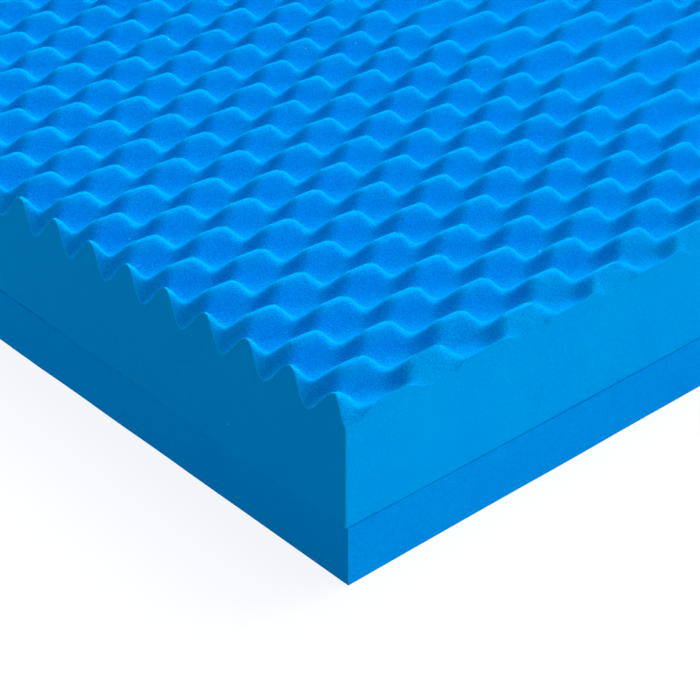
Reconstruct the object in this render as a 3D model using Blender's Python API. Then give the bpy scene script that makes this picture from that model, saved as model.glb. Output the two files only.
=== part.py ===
"""A foam mattress in two glued layers: a flat base slab, and a thick layer with a profile-cut top.

Metres, +Z up. The origin is on the floor under the middle of the mattress, +X runs along its length
and +Y across it. The top was cut on a machine whose discs stand side by side along X. Each disc leaves
a strip of waves that run along Y, and each strip is half a wave out of step with the strips beside it.
"""
import math

import bmesh
import bpy

# The mattress.
LENGTH = 2.000
WIDTH = 0.900
HEIGHT = 0.150                # floor to the crests
BASE_THICKNESS = 0.050
GLUE_GAP = 0.0003             # between the two layers

# The waves, which run along Y.
PITCH = 0.0445                # crest to crest
WAVE_DEPTH = 0.0225           # crest to valley
LEAN = 0.25                   # how far a crest leans towards -Y for each metre that it stands up
FIRST_CREST = 0.0107          # from the -Y side to the first crest of the end strips
ROWS_PER_PITCH = 4            # rows of points: crest, easy flank, valley and steep flank

# The strips, which stand side by side along X.
END_STRIP = 0.0090            # the cut-off strip at each end
NARROW_STRIP = 0.0453
NARROW_COUNT = 10             # at each end
WIDE_COUNT = 15               # in the middle, sharing the length that is left
FLAT_START = 0.2              # a strip is level along X from this share of its width to the same at its far side

FLAT_ANGLE = math.radians(0.1)    # faces that turn by less than this are one flat face

FOAM_BLUE = (0.0, 0.27, 0.72, 1.0)
BASE_BLUE = (0.0, 0.25, 0.68, 1.0)


def clear_scene():
    for old in list(bpy.data.objects):
        bpy.data.objects.remove(old, do_unlink=True)


def foam_material(name, colour):
    material = bpy.data.materials.new(name)
    material.use_nodes = True
    shader = material.node_tree.nodes["Principled BSDF"]
    shader.inputs["Base Color"].default_value = colour
    shader.inputs["Roughness"].default_value = 0.95
    shader.inputs["Metallic"].default_value = 0.0
    return material


def add_object(name, bm, material):
    bmesh.ops.recalc_face_normals(bm, faces=bm.faces[:])
    mesh = bpy.data.meshes.new(name)
    bm.to_mesh(mesh)
    bm.free()
    mesh.materials.append(material)
    thing = bpy.data.objects.new(name, mesh)
    bpy.context.collection.objects.link(thing)
    return thing


def strip_columns():
    """Two columns of points for each strip, as (x, crest's place in turns), from -X to +X."""
    narrow_zone = [NARROW_STRIP] * NARROW_COUNT
    middle = LENGTH - 2 * END_STRIP - 2 * sum(narrow_zone)
    widths = narrow_zone + [middle / WIDE_COUNT] * WIDE_COUNT + narrow_zone

    columns = [(-LENGTH / 2, 0.0)]
    left = -LENGTH / 2 + END_STRIP
    for number, width in enumerate(widths, start=1):
        crest = 0.5 * (number % 2)
        columns.append((left + FLAT_START * width, crest))
        columns.append((left + (1 - FLAT_START) * width, crest))
        left += width
    columns.append((LENGTH / 2, 0.0))
    return columns


def wave_point(x, crest, row):
    """The place of a row's point in a column: a cosine wave whose crests lean towards -Y."""
    turns = row / ROWS_PER_PITCH
    below_crest = WAVE_DEPTH / 2 * (1 - math.cos(math.tau * (turns - crest)))
    y = -WIDTH / 2 + FIRST_CREST + turns * PITCH + LEAN * below_crest
    return x, y, HEIGHT - below_crest


def profiled_layer():
    """A grid with rows on the crests, flanks and valleys, trimmed at the sides and closed below."""
    columns = strip_columns()
    first_row = -ROWS_PER_PITCH
    last_row = ROWS_PER_PITCH * math.ceil(WIDTH / PITCH)
    x_segments = len(columns) - 1
    y_segments = last_row - first_row

    bm = bmesh.new()
    bmesh.ops.create_grid(bm, x_segments=x_segments, y_segments=y_segments, size=0.5)
    for vert in bm.verts:
        x, crest = columns[round((vert.co.x + 0.5) * x_segments)]
        row = first_row + round((vert.co.y + 0.5) * y_segments)
        vert.co = wave_point(x, crest, row)
    bmesh.ops.triangulate(bm, faces=bm.faces[:])

    for side in (-1, 1):
        everything = bm.verts[:] + bm.edges[:] + bm.faces[:]
        bmesh.ops.bisect_plane(
            bm, geom=everything, dist=1e-6,
            plane_co=(0, side * WIDTH / 2, 0), plane_no=(0, side, 0), clear_outer=True)

    rim = [edge for edge in bm.edges if edge.is_boundary]
    walls = bmesh.ops.extrude_edge_only(bm, edges=rim)["geom"]
    foot = [item for item in walls if isinstance(item, bmesh.types.BMVert)]
    for vert in foot:
        vert.co.z = BASE_THICKNESS + GLUE_GAP
    rim = [edge for edge in bm.edges if edge.is_boundary]
    bmesh.ops.edgeloop_fill(bm, edges=rim)

    # Each wall becomes one face, so that its foot needs points at the corners alone.
    upright = list({edge for vert in foot for edge in vert.link_edges})
    bmesh.ops.dissolve_limit(bm, angle_limit=FLAT_ANGLE, verts=foot, edges=upright)
    bmesh.ops.triangulate(bm, faces=bm.faces[:])
    return add_object("profiled_layer", bm, foam_material("foam_profiled", FOAM_BLUE))


def base_slab():
    bm = bmesh.new()
    bmesh.ops.create_cube(bm, size=1)
    bmesh.ops.scale(bm, vec=(LENGTH, WIDTH, BASE_THICKNESS), verts=bm.verts)
    bmesh.ops.translate(bm, vec=(0, 0, BASE_THICKNESS / 2), verts=bm.verts)
    return add_object("base_slab", bm, foam_material("foam_base", BASE_BLUE))


clear_scene()
base_slab()
profiled_layer()
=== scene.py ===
# %% [markdown]
# # A foam mattress with a profile-cut top
#
# The mattress is two layers of blue foam glued together: a flat base slab, and a thick layer whose top was
# cut into rows of rounded bumps. The imported model already holds both layers as plain solids in metres, and
# this lesson dresses them. The first cell loads them and keeps their box, which gives the mattress's size and
# its corner.

# %% Load the imported model
import math

import bmesh
import bpy
from mathutils import Euler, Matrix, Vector, noise


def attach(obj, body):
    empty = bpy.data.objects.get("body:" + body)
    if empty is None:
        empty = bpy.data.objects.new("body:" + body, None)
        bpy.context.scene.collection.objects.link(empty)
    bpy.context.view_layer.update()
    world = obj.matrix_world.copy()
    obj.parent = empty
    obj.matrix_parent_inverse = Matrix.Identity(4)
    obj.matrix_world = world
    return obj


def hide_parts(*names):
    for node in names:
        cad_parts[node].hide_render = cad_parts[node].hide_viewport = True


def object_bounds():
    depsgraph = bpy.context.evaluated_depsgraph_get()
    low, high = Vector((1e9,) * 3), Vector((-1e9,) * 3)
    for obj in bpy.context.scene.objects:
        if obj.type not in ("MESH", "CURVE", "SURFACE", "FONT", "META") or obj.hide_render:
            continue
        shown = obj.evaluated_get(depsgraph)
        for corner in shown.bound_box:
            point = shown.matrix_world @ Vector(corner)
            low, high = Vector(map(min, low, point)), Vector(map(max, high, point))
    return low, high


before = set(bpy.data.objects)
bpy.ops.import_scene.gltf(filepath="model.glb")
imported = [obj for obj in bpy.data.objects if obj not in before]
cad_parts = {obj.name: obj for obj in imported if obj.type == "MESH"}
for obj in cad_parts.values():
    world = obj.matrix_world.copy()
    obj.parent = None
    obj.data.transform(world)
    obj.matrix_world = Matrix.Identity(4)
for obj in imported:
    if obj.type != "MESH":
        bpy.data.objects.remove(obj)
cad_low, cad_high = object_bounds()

LENGTH = cad_high.x - cad_low.x
WIDTH = cad_high.y - cad_low.y
print("mattress", round(LENGTH, 4), "by", round(WIDTH, 4), "by", round(cad_high.z, 4), "m")

# %% [markdown]
# ## The camera
#
# Only one corner of the mattress fills the picture. The camera stands off that corner, well above the bumps,
# and looks down at it through a long lens. A wide lens close by could show the same corner, but the long one
# keeps the waves almost the same size from front to back. The camera is placed from the corner, so it would
# follow a mattress of another size.

# %% Camera
CORNER = Vector((cad_low.x, cad_low.y, 0))
CAMERA_FROM_CORNER = Vector((-0.7065, -0.7896, 0.8565))
CAMERA_HEADING = 48.117          # degrees from +X towards +Y
CAMERA_TILT = -32.225            # degrees, below the horizon
LENS = 102.93                    # millimetres
SENSOR = 36                      # millimetres across
NEAREST = 0.05                   # nothing nearer than this is drawn
FURTHEST = 50                    # and nothing further

camera = bpy.data.objects.new("camera", bpy.data.cameras.new("camera"))
camera.data.lens = LENS
camera.data.sensor_width = SENSOR
camera.data.clip_start = NEAREST
camera.data.clip_end = FURTHEST
camera.location = CORNER + CAMERA_FROM_CORNER
camera.rotation_euler = Euler((math.radians(90 + CAMERA_TILT), 0, math.radians(CAMERA_HEADING - 90)))
bpy.context.collection.objects.link(camera)
bpy.context.scene.camera = camera
print("camera at", [round(value, 3) for value in camera.location])

# %% [markdown]
# ## Where the strips lie
#
# The top was cut on a machine that squeezes the foam between two rollers while a blade slices through it.
# Each roller is a stack of discs with wavy edges, and neighbouring discs are turned half a wave apart. Every
# disc leaves a strip of waves that run across the mattress, and two strips meet in a soft S. The discs are
# narrow towards both ends and wide in the middle. A wide disc has shoulders much like a narrow one's, and is
# level for longer between them.

# %% Strips
PITCH = 0.0447                   # crest to crest along a strip
END_STRIP = 0.0077               # the cut-off strip at each end
NARROW_STRIP = 0.0453
NARROW_COUNT = 10
WIDE_COUNT = 15
WIDE_SHOULDERS = 0.054           # both shoulders of a wide strip, which is level between them
END_LIMIT = -0.3                 # the cut-off strip goes no further into its disc than this share of a strip
wide_strip = (LENGTH - 2 * END_STRIP - 2 * NARROW_COUNT * NARROW_STRIP) / WIDE_COUNT


def strip_number(from_end):
    """How many strips lie between the nearer end and this distance from it, as a number with a fraction."""
    narrow_zone = NARROW_COUNT * NARROW_STRIP
    past_end_strip = from_end - END_STRIP
    if past_end_strip < narrow_zone:
        return max(past_end_strip / NARROW_STRIP, END_LIMIT)
    wide_before, into = divmod(past_end_strip - narrow_zone, wide_strip)
    first_shoulder = min(into / WIDE_SHOULDERS, 0.5)
    last_shoulder = min((wide_strip - into) / WIDE_SHOULDERS, 0.5)
    return NARROW_COUNT + wide_before + first_shoulder + 0.5 - last_shoulder


print("wide strips are", round(wide_strip * 1000, 1), "mm")

# %% [markdown]
# A disc has a level middle and rounded shoulders, so the change from one strip to the next isn't a plain
# sine. A sine with a little of its third harmonic stays level for longer and falls faster between. Close to
# a cut side the squeezed foam had bulged outwards when the blade passed. It sprang back afterwards, which
# drew the pattern inwards at the ends and pushed it along at the long sides, most of all near the corners.
# The strips also aren't quite square to the mattress, because the sheet went into the machine slightly
# skewed and swayed a little on its way.

# %% Share of each disc
LEVEL_HARMONIC = 0.15
FULL_SHARE = math.sqrt(0.5) * (1 + LEVEL_HARMONIC)    # reached a quarter of the way through a strip
END_PULL = 0.0085                # how far the pattern is drawn in at the two ends
END_REACH = 0.017
SIDE_PUSH = 0.0062               # how far it is pushed towards +X at the two long sides
SIDE_REACH = 0.027
CORNER_PUSH = 0.0080             # how much further at the four corners
CORNER_REACH = 0.11
SKEW = 0.0056                    # metres along for each metre across
SWAY_LENGTH = 1.25               # the sheet swayed slowly as it went through the machine
SWAY_ALONG = 0.0026
SWAY_ACROSS = 0.0060


def sway(x):
    """A slow swing between -1 and 1 along the mattress."""
    return math.sin(math.tau * (x + LENGTH / 2) / SWAY_LENGTH)


def fading(distance, reach):
    """1 at a cut side, falling towards 0 away from it."""
    return math.exp(-max(distance, 0) / reach)


def side_distance(y):
    """From the nearer long side."""
    return WIDTH / 2 - abs(y)


def disc_share(x, y):
    """1 where the waves keep step with those at the ends, -1 where they are half a wave out of step."""
    in_from_end = LENGTH / 2 - abs(x)
    push = SIDE_PUSH + CORNER_PUSH * fading(in_from_end, CORNER_REACH)
    push *= 1 - fading(in_from_end, END_REACH)
    moved = push * fading(side_distance(y), SIDE_REACH) + SKEW * y - SWAY_ALONG * sway(x)
    from_end = LENGTH / 2 - abs(x - moved)
    turn = math.pi * strip_number(from_end - END_PULL * fading(from_end, END_REACH))
    level = math.sin(turn) + LEVEL_HARMONIC * math.sin(3 * turn)
    return -level / FULL_SHARE


print("share at the end face", round(disc_share(-LENGTH / 2, 0), 3))

# %% [markdown]
# ## The wave
#
# One point of the top is found from its place along the mattress and a number of turns, 1 for each crest
# of the wave. The wave's crests are a little narrower than its valleys, and every crest leans towards the
# -Y side, because the blade dragged the foam that way. The depth of the waves is read from the top down, so
# all the crests end at one level. At the ends the waves are deeper. At the long sides the bumps that keep
# step with the ends would be sawn through near their crests. They fall away instead, along a curve that
# steepens towards the wall, and meet it in a blunt edge.

# %% Wave
CREST_HEIGHT = 0.1513
HALF_DEPTH = 0.0093              # half of crest to valley
END_HALF_DEPTH = 0.0124          # and at the ends
CREST_HARMONIC = 0.125           # narrows the crests
FIRST_CREST = 0.0098             # from the -Y side
END_SHIFT = 0.0013               # the end waves are this much further from the -Y side
LEAN = 0.20                      # towards -Y for each metre that a crest stands up
END_LEAN = 0.25
END_DROP = 0.0010                # the end waves stand a little lower
RIM_HEIGHT = 0.1285              # the strips in step are rounded down to this at the long sides
RIM_REACH = 0.0120               # how far from the side a rim starts to fall
RIM_CURVE = 1.5                  # 1 would fall in a straight line, and more ends steeper
RIM_SHIFT = 0.0025               # the fallen rims lie a little further towards +X than their strips


def wave(turns, harmonic):
    return math.cos(math.tau * turns) + harmonic * (math.cos(2 * math.tau * turns) - 1)


def rim_fall(y):
    """1 at a long side, and 0 further in than the rims reach."""
    outward_share = 1 - min(max(side_distance(y) / RIM_REACH, 0), 1)
    return outward_share ** RIM_CURVE


def top_point(x, turns):
    """A point of the profiled top."""
    end = fading(LENGTH / 2 - abs(x), END_REACH)
    rough_y = -WIDTH / 2 + FIRST_CREST + END_SHIFT * end - SWAY_ACROSS * sway(x) + turns * PITCH
    share = disc_share(x, rough_y)
    half_depth = HALF_DEPTH + (END_HALF_DEPTH - HALF_DEPTH) * end
    harmonic = CREST_HARMONIC * (1 - end)
    in_step = wave(turns, harmonic)
    out_of_step = wave(turns - 0.5, harmonic)
    below_crest = half_depth * (1 - (1 + share) / 2 * in_step - (1 - share) / 2 * out_of_step)
    y = rough_y + (LEAN + (END_LEAN - LEAN) * end) * below_crest
    height = CREST_HEIGHT - END_DROP * end - below_crest
    fallen = min(max((1 + disc_share(x - RIM_SHIFT, rough_y)) / 2, 0), 1)
    height += (RIM_HEIGHT - height) * fallen * rim_fall(y)
    return Vector((x, y, height))


print("a crest", [round(value, 4) for value in top_point(0.02, 3.0)])

# %% [markdown]
# The saw trimmed the block to its width, and the surface has to end exactly on that cut. Halving a range of
# turns again and again finds where the wave crosses the side. No two bumps spring back alike, so a slow
# wander of up to half a millimetre goes over the whole top.

# %% Trim and wander
HALVINGS = 24
WANDER = 0.0006
WANDER_SCALE = 16                # swings to the metre, roughly


def turns_at_side(x, side):
    """The number of turns at which the top crosses the saw cut on the -1 or +1 side."""
    goal = side * WIDTH / 2
    low = (goal + WIDTH / 2 - FIRST_CREST) / PITCH - 1
    high = low + 2
    for _ in range(HALVINGS):
        middle = (low + high) / 2
        if top_point(x, middle).y < goal:
            low = middle
        else:
            high = middle
    return (low + high) / 2


def wander(place):
    return WANDER * noise.noise(place * WANDER_SCALE)


print("first turn", round(turns_at_side(0, -1), 3), "last turn", round(turns_at_side(0, 1), 3))

# %% [markdown]
# ## The columns and rows of points
#
# A grid becomes the top: its columns stand along the mattress and its rows follow the waves. An even grid
# would need far more faces. So columns are placed closer where two strips meet, because that is where the
# surface turns, and wider on the level middle of a strip. Rows are closer by the long sides, where the rims
# fall away.

# %% Columns and rows
NARROW_STEPS = (0, 0.06, 0.13, 0.21, 0.32, 0.5, 0.68, 0.79, 0.87, 0.94)
WIDE_STEPS = (0, 0.05, 0.11, 0.18, 0.27, 0.73, 0.82, 0.89, 0.95)
SIDE_STEPS = (0, 0.026, 0.054, 0.090, 0.138)    # rows near a long side, in turns from it
EVEN_FROM = 0.2                  # in turns too, and the rows are even from there on
ROWS_PER_PITCH = 12


def column_places():
    """The x of each column of points, from one end to the other."""
    places = [-LENGTH / 2, -LENGTH / 2 + END_STRIP / 2]
    left = -LENGTH / 2 + END_STRIP
    strips = [(NARROW_STRIP, NARROW_STEPS)] * NARROW_COUNT
    strips = strips + [(wide_strip, WIDE_STEPS)] * WIDE_COUNT + strips
    for width, steps in strips:
        places += [left + width * step for step in steps]
        left += width
    return places + [left, LENGTH / 2 - END_STRIP / 2, LENGTH / 2]


def row_places():
    """Where each row stands between the two long sides, from 0 to 1: close by the sides and even between."""
    turns_across = WIDTH / PITCH
    close = [step / turns_across for step in SIDE_STEPS]
    even_from = EVEN_FROM / turns_across
    count = round(ROWS_PER_PITCH * turns_across * (1 - 2 * even_from))
    even = [even_from + (1 - 2 * even_from) * row / count for row in range(count + 1)]
    return close + even + [1 - place for place in reversed(close)]


columns = column_places()
rows = row_places()
print(len(columns), "columns and", len(rows), "rows")

# %% [markdown]
# ## Small helpers for the meshes
#
# Each layer is a bmesh that ends as an object at the origin with smooth faces. A mesh made by extruding can
# come out inside out, so the normals are recalculated before it is kept. Edges that turn sharply stay sharp,
# and a modifier keeps the shading of large flat faces even. Along a rounded edge the finish paints a
# highlight, a paler blue where the fluffed foam catches the light, and the squarer the edge, the more it
# shows. A named attribute keeps the strength of that painted highlight on the mesh for the finish.

# %% Finish a mesh
# the painted highlight along a rounded edge is full at this turn, and fainter at blunter edges
FULL_HIGHLIGHT_TURN = math.radians(38)    # the turn between the two faces of a rounding, at a square edge
SHARP_ANGLE = math.radians(60)


def new_mesh():
    bm = bmesh.new()
    bm.verts.layers.float.new("edge_highlight")
    return bm


def keep_mesh(name, bm, highlit_points=()):
    """Makes an object, and marks the strength of the painted edge highlight at the given points: 1 where the
    edge is square, and less where it is blunt.
    """
    bmesh.ops.recalc_face_normals(bm, faces=bm.faces[:])
    highlight_layer = bm.verts.layers.float["edge_highlight"]
    for vert in highlit_points:
        normals = [face.normal for face in vert.link_faces]
        turn = max(first.angle(second) for first in normals for second in normals)
        vert[highlight_layer] = min(turn / FULL_HIGHLIGHT_TURN, 1) ** 3
    mesh = bpy.data.meshes.new(name)
    bm.to_mesh(mesh)
    bm.free()
    for face in mesh.polygons:
        face.use_smooth = True
    mesh.set_sharp_from_angle(angle=SHARP_ANGLE)
    piece = bpy.data.objects.new(name, mesh)
    piece.modifiers.new("even shading", "WEIGHTED_NORMAL").keep_sharp = True
    bpy.context.collection.objects.link(piece)
    triangles = sum(len(face.vertices) - 2 for face in mesh.polygons)
    print(name, "has", triangles, "triangles")
    return piece


def boundary(bm):
    return [edge for edge in bm.edges if edge.is_boundary]


print("edges that turn over", round(math.degrees(SHARP_ANGLE)), "degrees stay sharp")

# %% [markdown]
# ## The glue line
#
# The two layers meet in a glue line that isn't quite level, and the upper layer sits about a millimetre off
# the lower one. The line is tight near the front corner and opens a little along the end. Both layers follow
# the same line at their rims and are level further in.

# %% Glue line
GLUE_HEIGHT = 0.0484
LAYER_OFFSET = Vector((-0.0009, 0.0009, 0))           # of the upper layer
SWING_ALONG = 0.0008             # the line rises and falls this much along the mattress
SWING_ALONG_LENGTH = 0.55
SWING_ACROSS = 0.0015            # and this much across it
SWING_ACROSS_LENGTH = 0.66
SWING_ACROSS_HIGH = 0.42         # where across it is highest
TIGHT_GAP = 0.0003
OPEN_GAP = 0.0020
OPENS_FROM = 0.10                # from the -Y side, at the ends
OPENS_OVER = 0.25
END_ZONE = 0.003                 # a place this close to an end is on its wall


def glue_line(x, y):
    """The height of the glue line at a place on the rim."""
    along = math.tau * (LENGTH / 2 + x) / SWING_ALONG_LENGTH
    across = math.tau * (WIDTH / 2 + y - SWING_ACROSS_HIGH) / SWING_ACROSS_LENGTH
    return GLUE_HEIGHT + SWING_ALONG * math.cos(along) + SWING_ACROSS * math.cos(across)


def glue_gap(x, y):
    """How far the line is open at a place on the rim."""
    across = min(max((WIDTH / 2 + y - OPENS_FROM) / OPENS_OVER, 0), 1)
    at_end = 1 if abs(x) > LENGTH / 2 - END_ZONE else 0
    return TIGHT_GAP + (OPEN_GAP - TIGHT_GAP) * across * at_end


print("glue line at the corner", round(glue_line(cad_low.x, cad_low.y) * 1000, 1), "mm")

# %% [markdown]
# ## The profiled layer
#
# The grid is made flat and square, and each of its points is then sent to its place on the top. Its rim is
# extruded down to make the four sawn walls, in bands, so that the walls can wander a little as a long saw
# blade does. The last ring goes inwards under the layer, and a fill closes it.

# %% Profiled top
def shape_top(bm):
    x_segments = len(columns) - 1
    y_segments = len(rows) - 1
    bmesh.ops.create_grid(bm, x_segments=x_segments, y_segments=y_segments, size=0.5)
    ends = [(turns_at_side(x, -1), turns_at_side(x, 1)) for x in columns]
    for vert in bm.verts:
        column = round((vert.co.x + 0.5) * x_segments)
        row = round((vert.co.y + 0.5) * y_segments)
        first, last = ends[column]
        turns = first + (last - first) * rows[row]
        vert.co = top_point(columns[column], turns)
        vert.co.z += wander(vert.co)


profiled = new_mesh()
shape_top(profiled)
heights = [vert.co.z for vert in profiled.verts]
print("top runs from", round(min(heights), 4), "to", round(max(heights), 4))

# %% Walls of the profiled layer
WALL_LEVELS = (0.112, 0.080)
WALL_WANDER = 0.0005
WALL_SCALE = 9                   # swings to the metre, roughly
BAND_SCALE = 50                  # large, so that each band of a wall swings its own way
PROFILED_SEED = 7                # the two layers have their own swings, so each has its own seed
SAW_PLAY = 0.0008                # a point this close to the box's side stands on a wall


def outward(vert):
    """The level direction out of the wall that a point stands on."""
    at_end = abs(vert.co.x) > LENGTH / 2 - SAW_PLAY
    at_side = abs(vert.co.y) > WIDTH / 2 - SAW_PLAY
    return Vector((math.copysign(at_end, vert.co.x), math.copysign(at_side, vert.co.y), 0))


def wall_swing(place, level, seed):
    """A smooth swing between about -1 and 1 for a point of a wall."""
    return noise.noise(place * WALL_SCALE + Vector((seed, level * BAND_SCALE, 0)))


def extrude_ring(bm, height):
    """Extrudes the open rim, and sends each new point to the height that a function gives for it."""
    made = bmesh.ops.extrude_edge_only(bm, edges=boundary(bm))["geom"]
    ring = [item for item in made if isinstance(item, bmesh.types.BMVert)]
    for vert in ring:
        vert.co.z = height(vert.co)
    return ring


rim = boundary(profiled)
for level in WALL_LEVELS:
    for vert in extrude_ring(profiled, lambda place: level):
        vert.co += outward(vert) * WALL_WANDER * wall_swing(vert.co, level, PROFILED_SEED)
extrude_ring(profiled, lambda place: glue_line(place.x, place.y) + glue_gap(place.x, place.y) / 2)
print("walls stand on", len(boundary(profiled)), "edges")

# %% Close and round the profiled layer
UNDER_RIM = 0.030                # how far in the last ring goes
RIM_ROUND = 0.0008


def close_under(bm, level):
    """Draws the open rim inwards to one level and fills it."""
    for vert in extrude_ring(bm, lambda place: level):
        vert.co.x *= 1 - 2 * UNDER_RIM / LENGTH
        vert.co.y *= 1 - 2 * UNDER_RIM / WIDTH
    bmesh.ops.edgeloop_fill(bm, edges=boundary(bm))


def on_corner(vert):
    """True for a point that stands on two walls."""
    direction = outward(vert)
    return direction.x != 0 and direction.y != 0


def corner_edges(bm):
    """The upright edges where two walls meet."""
    return [edge for edge in bm.edges if all(on_corner(vert) for vert in edge.verts)]


def round_edges(bm, edges, offset):
    """Bevels edges, and returns the points in the middle of each rounding."""
    made = bmesh.ops.bevel(
        bm, geom=edges, offset=offset, offset_type="OFFSET", affect="EDGES",
        segments=2, profile=0.5, material=-1)
    rounded = set(made["faces"])
    return [vert for vert in made["verts"] if all(face in rounded for face in vert.link_faces)]


close_under(profiled, GLUE_HEIGHT + TIGHT_GAP / 2)
upright = [edge for edge in corner_edges(profiled) if edge not in rim]
bmesh.ops.translate(profiled, verts=profiled.verts[:], vec=LAYER_OFFSET)
# the points in the middle of each rounding carry the painted edge highlight
highlit_points = round_edges(profiled, rim + upright, RIM_ROUND)
profiled_layer = keep_mesh("profiled_foam_layer", profiled, highlit_points)

# %% [markdown]
# ## The base slab
#
# The base is a plain slab, but a slab of foam has softly rounded edges, sides that a long saw left slightly
# uneven and a top rim that follows the glue line. It starts as a coarse grid for its top, and its walls and
# underside come the same way as the other layer's.

# %% Base slab
BASE_CELLS = (72, 32)
BASE_LEVELS = (0.034, 0.014)
BASE_ROUND = 0.0004
BASE_SEED = 3


def shape_base(bm):
    bmesh.ops.create_grid(bm, x_segments=BASE_CELLS[0], y_segments=BASE_CELLS[1], size=0.5)
    for vert in bm.verts:
        vert.co.x *= LENGTH
        vert.co.y *= WIDTH
        vert.co.z = GLUE_HEIGHT - TIGHT_GAP / 2
    for vert in {vert for edge in boundary(bm) for vert in edge.verts}:
        vert.co.z = glue_line(vert.co.x, vert.co.y) - glue_gap(vert.co.x, vert.co.y) / 2


base = new_mesh()
shape_base(base)
base_rim = boundary(base)
for level in BASE_LEVELS:
    for vert in extrude_ring(base, lambda place: level):
        vert.co -= outward(vert) * WALL_WANDER * abs(wall_swing(vert.co, level, BASE_SEED))
extrude_ring(base, lambda place: 0)
bottom_rim = boundary(base)
bmesh.ops.edgeloop_fill(base, edges=bottom_rim)
# the base slab's roundings carry the painted edge highlight too
base_highlit_points = round_edges(base, base_rim + bottom_rim + corner_edges(base), BASE_ROUND)
base_layer = keep_mesh("base_foam_slab", base, base_highlit_points)

# %% [markdown]
# ## Materials as arithmetic
#
# A finish is built from nodes, but it reads best as arithmetic. The class below wraps one output of a node,
# and a sum or product of two such wires adds the Math node that works it out. Each operator has its reflected
# form too, so that a plain number may stand first. Colours go through Mix nodes, because a Math node would
# turn them grey.

# %% Wires
class Wire:
    """One output of a node in a finish."""

    def __init__(self, finish, socket):
        self.finish = finish
        self.socket = socket

    def math(self, operation, first, second):
        return self.finish.node("ShaderNodeMath", {"operation": operation}, {0: first, 1: second})

    def __add__(self, other):
        return self.math("ADD", self, other)

    def __radd__(self, other):
        return self.math("ADD", other, self)

    def __sub__(self, other):
        return self.math("SUBTRACT", self, other)

    def __rsub__(self, other):
        return self.math("SUBTRACT", other, self)

    def __mul__(self, other):
        return self.math("MULTIPLY", self, other)

    def __rmul__(self, other):
        return self.math("MULTIPLY", other, self)

    def __pow__(self, other):
        return self.math("POWER", self, other)

    def __rpow__(self, other):
        return self.math("POWER", other, self)


class Finish:
    """A material. Its node method adds any node, and the others save words where a node is used often."""

    def __init__(self, name):
        self.material = bpy.data.materials.new(name)
        self.material.use_nodes = True
        self.tree = self.material.node_tree
        self.tree.nodes.clear()

    def node(self, kind, settings=None, sockets=None, output=0):
        made = self.tree.nodes.new(kind)
        for name, value in (settings or {}).items():
            setattr(made, name, value)
        for name, value in (sockets or {}).items():
            if isinstance(value, Wire):
                self.tree.links.new(value.socket, made.inputs[name])
            else:
                made.inputs[name].default_value = value
        return Wire(self, made.outputs[output]) if len(made.outputs) else made

    def blend(self, share, first, second):
        """A colour between two colours."""
        return self.node("ShaderNodeMix", {"data_type": "RGBA"}, {0: share, 6: first, 7: second}, 2)

    def between(self, value, low, high):
        """0 where a value is under low, 1 where it is over high, and smooth between."""
        return self.node(
            "ShaderNodeMapRange", {"interpolation_type": "SMOOTHSTEP"},
            {"Value": value, "From Min": low, "From Max": high})

    def noise(self, place, scale, detail=2.0, roughness=0.5):
        return self.node(
            "ShaderNodeTexNoise", {},
            {"Vector": place, "Scale": scale, "Detail": detail, "Roughness": roughness})


print("nodes are wrapped")

# %% [markdown]
# ## The foam
#
# Close to, the cut cells of polyurethane foam give it a fine grain like suede. The grain is strong where the
# profile was cut and weaker on the sawn walls. Fine noise makes it, read from Object coordinates so that it
# stays on the foam, and the direction that a face looks in tells the top from the walls.

# %% Grain
GRAIN_SCALE = 850                # cells to the metre
WALL_GRAIN = 0.5                 # how strong the grain is on the sawn walls, where it is 1 on the top


def facing_part(foam, axis):
    """How far a face looks along X, Y or Z, which are 0, 1 and 2."""
    facing = foam.node("ShaderNodeTexCoord", output=1)
    return foam.node("ShaderNodeSeparateXYZ", {}, {0: facing}, axis)


def foam_grain(foam, place):
    """The grain, and how coarse it is at each place."""
    grain = foam.noise(place, GRAIN_SCALE, 3.0, 0.7)
    on_top = foam.between(facing_part(foam, 2), 0.15, 0.50)
    return grain, on_top * (1 - WALL_GRAIN) + WALL_GRAIN


print("grain of", round(1000 / GRAIN_SCALE, 1), "mm")

# %% [markdown]
# The grain varies the blue between a deep and a clear one, with faint cloudy patches. The two end walls get
# a painted shade, a darker blue that stands for the shade they lie in, away from the lamps. The rounded edges
# get a painted highlight, a paler blue where the fluffed foam catches the light. Where the foam turns away
# from the eye it gets a painted sheen, a paler blue that draws a thin pale line along every crest. A few pale
# specks of dust lie on it. Each is a blend laid over the one before, which is easier to follow than one large
# mixture.

# %% Foam colours
DEEP_BLUE = (0.000, 0.265, 0.840, 1)
CLEAR_BLUE = (0.000, 0.465, 0.945, 1)
# the darker blue of the painted shade on the two end walls
END_SHADE_BLUE = (0.000, 0.178, 0.415, 1)
# the paler blue of the painted highlight along rounded edges
EDGE_HIGHLIGHT_BLUE = (0.000, 0.550, 1.000, 1)
# the paler blue of the painted sheen where the foam turns away from the eye
PAINTED_SHEEN_BLUE = (0.000, 0.620, 1.000, 1)
SPECK = (0.35, 0.90, 1.00, 1)
GRAIN_CONTRAST = 3.2
CLOUD_SCALE = 22
CLOUD_CONTRAST = 0.3
# how strongly the painted shade is laid on the end walls
END_SHADE_SHARE = 0.7
# how strongly the painted edge highlight is laid on
EDGE_HIGHLIGHT_SHARE = 0.6
# how strongly the painted sheen is laid on, and how narrow its pale line is
PAINTED_SHEEN_SHARE = 0.9
PAINTED_SHEEN_NARROWNESS = 8.0
DUST_SCALE = 45
DUST_SHARE = 0.9


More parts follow.
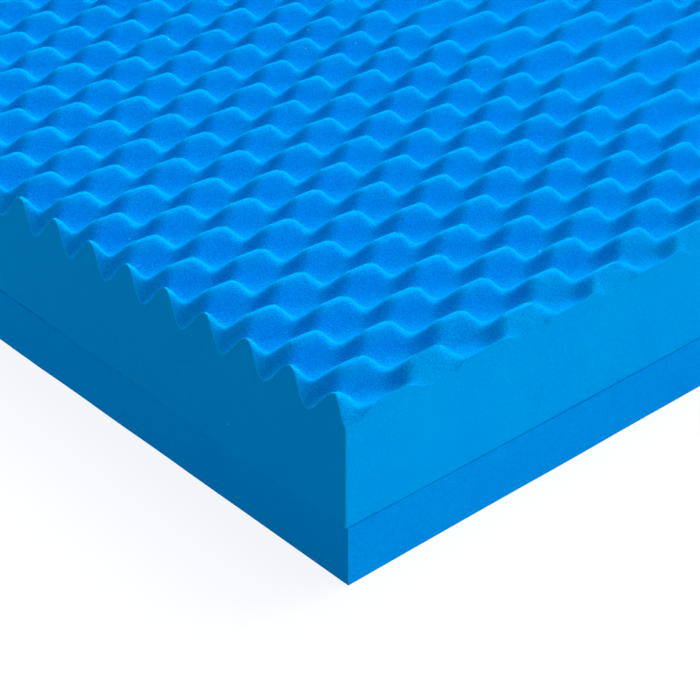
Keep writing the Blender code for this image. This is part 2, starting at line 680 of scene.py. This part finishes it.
def foam_colour(foam, place, grain, coarse, shade):
    """The blends, from the foam's own blue through the painted shade, highlight and sheen to the dust on it.
    """
    clouds = foam.noise(place, CLOUD_SCALE)
    tone = (grain - 0.5) * coarse * GRAIN_CONTRAST + (clouds - 0.5) * CLOUD_CONTRAST + shade
    colour = foam.blend(tone, DEEP_BLUE, CLEAR_BLUE)

    # painted shade: the two end walls, whose faces look along X, get a darker blue for the shade they lie in
    endward = facing_part(foam, 0)
    painted_end_shade = foam.between(endward * endward, 0.70, 0.95)
    colour = foam.blend(painted_end_shade * END_SHADE_SHARE, colour, END_SHADE_BLUE)

    # painted highlight: a paler blue along the rounded edges, where the fluffed foam catches the light
    edge_highlight = foam.node("ShaderNodeAttribute", {"attribute_name": "edge_highlight"}, output=2)
    colour = foam.blend(edge_highlight * EDGE_HIGHLIGHT_SHARE, colour, EDGE_HIGHLIGHT_BLUE)

    # painted sheen: a paler blue where the foam turns away from the eye, which draws a pale line on every
    # crest
    turned_away = foam.node("ShaderNodeLayerWeight", {}, {"Blend": 0.5}, 1)
    colour = foam.blend(turned_away ** PAINTED_SHEEN_NARROWNESS * PAINTED_SHEEN_SHARE, colour, PAINTED_SHEEN_BLUE)

    dust = foam.node("ShaderNodeTexVoronoi", {"feature": "F1"}, {"Vector": place, "Scale": DUST_SCALE})
    speck = foam.between(dust, 0.026, 0.014)
    return foam.blend(speck * DUST_SHARE, colour, SPECK)


print("blues", [round(blue[2], 2) for blue in (DEEP_BLUE, CLEAR_BLUE, END_SHADE_BLUE, EDGE_HIGHLIGHT_BLUE, PAINTED_SHEEN_BLUE)])

# %% [markdown]
# Foam is matt and has no mirror gloss at all, so its roughness is full and its specular level is 0. A sheen
# gives the soft glow of its fluff, and the grain is a bump as well as a colour. The base slab's foam is a
# little deeper in shade than the profiled layer's.

# %% Foam finish
VELVET_TINT = (0.00, 0.40, 1.0, 1)
BUMP_DEPTH = 0.0010
PROFILED_SHADE = 0.5
BASE_SHADE = 0.25


def foam_finish(name, shade):
    """Foam whose shade is 0 for the deep blue and 1 for the clear blue."""
    foam = Finish(name)
    place = foam.node("ShaderNodeTexCoord", output=3)
    grain, coarse = foam_grain(foam, place)
    bump = foam.node(
        "ShaderNodeBump", {}, {"Strength": 0.8, "Distance": BUMP_DEPTH, "Height": grain * coarse})
    surface = foam.node("ShaderNodeBsdfPrincipled", {}, {
        "Base Color": foam_colour(foam, place, grain, coarse, shade),
        "Roughness": 1.0,
        "Specular IOR Level": 0.0,
        "Sheen Weight": 0.7,
        "Sheen Roughness": 0.28,
        "Sheen Tint": VELVET_TINT,
        "Normal": bump})
    foam.node("ShaderNodeOutputMaterial", {}, {"Surface": surface})
    return foam.material


profiled_layer.data.materials.append(foam_finish("profiled_foam", PROFILED_SHADE))
base_layer.data.materials.append(foam_finish("base_foam", BASE_SHADE))
print("finishes", [material.name for material in bpy.data.materials if material.users])

# %% [markdown]
# ## Join the pieces to the imported model
#
# Both layers ride on the mattress's one body and stand for the plain solids, which are then hidden.

# %% Ride and replace
for piece, node, slot in (
        (profiled_layer, "profiled_layer", "foam_profiled"),
        (base_layer, "base_slab", "foam_base")):
    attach(piece, "root")
    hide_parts(node)

# %% [markdown]
# ## Floor and light
#
# The mattress lies on a pale studio floor that glows as brightly as a lit paper sweep, so it leaves only a
# faint shadow and is lit from below as well. Most of the light comes from wide soft lamps behind the mattress
# and to its right. They graze the crests and leave the end wall, and the flanks that face the same way, in
# shade. Those get the bluish light of the room, and one small lamp beyond the far end of that wall lifts it a
# little.

# %% Floor
FLOOR_REACH = 40                 # from its middle to its sides
FLOOR_LEVEL = -0.0004            # just clear of the underside
FLOOR_GLOW = 0.88

floor_mesh = new_mesh()
bmesh.ops.create_grid(floor_mesh, x_segments=1, y_segments=1, size=FLOOR_REACH)
bmesh.ops.translate(floor_mesh, verts=floor_mesh.verts[:], vec=(0, 0, FLOOR_LEVEL))
floor = keep_mesh("floor", floor_mesh)
paint = Finish("pale_floor")
matt = paint.node("ShaderNodeBsdfPrincipled", {}, {
    "Base Color": (0.20, 0.20, 0.20, 1),
    "Roughness": 1.0,
    "Specular IOR Level": 0.0,
    "Emission Color": (1, 1, 1, 1),
    "Emission Strength": FLOOR_GLOW})
paint.node("ShaderNodeOutputMaterial", {}, {"Surface": matt})
floor.data.materials.append(paint.material)

# %% Light
ROOM_BLUE = (0.13, 0.34, 1.0, 1)
ROOM_LIGHT = 0.153
LAMPS = (
    # name, degrees from +X towards +Y, degrees above the horizon, strength, degrees across
    ("back_lamp", 30, 12, 4.6, 50),
    ("key_lamp", 30, 35, 1.4, 50),
    ("high_lamp", -10, 60, 1.4, 50),
    ("top_lamp", 0, 88, 0.3, 40),
    ("end_lamp", -10, 12, 1.7, 40),
    ("far_side_lamp", 70, 12, 0.5, 40),
    ("side_lamp", -80, 15, 0.3, 40))
LOW_LAMP_FROM_CORNER = Vector((-0.7, 1.4, 0.09))
LOW_LAMP_HEADING = -40           # degrees from +X towards +Y
LOW_LAMP_SIZE = 0.15
LOW_LAMP_POWER = 3.0

world = bpy.data.worlds.new("studio")
world.use_nodes = True
background = world.node_tree.nodes["Background"]
background.inputs["Color"].default_value = ROOM_BLUE
background.inputs["Strength"].default_value = ROOM_LIGHT
bpy.context.scene.world = world

for name, around, above, strength, across in LAMPS:
    lamp = bpy.data.objects.new(name, bpy.data.lights.new(name, "SUN"))
    lamp.data.energy = strength
    lamp.data.angle = math.radians(across)
    lamp.rotation_euler = Euler((math.radians(90 - above), 0, math.radians(around + 90)))
    bpy.context.collection.objects.link(lamp)

low_lamp = bpy.data.objects.new("low_lamp", bpy.data.lights.new("low_lamp", "AREA"))
low_lamp.data.energy = LOW_LAMP_POWER
low_lamp.data.size = LOW_LAMP_SIZE
low_lamp.location = CORNER + LOW_LAMP_FROM_CORNER
low_lamp.rotation_euler = Euler((math.radians(90), 0, math.radians(LOW_LAMP_HEADING - 90)))
bpy.context.collection.objects.link(low_lamp)
bpy.context.scene.view_settings.view_transform = "Standard"
print("lamps", [lamp[0] for lamp in LAMPS] + [low_lamp.name])
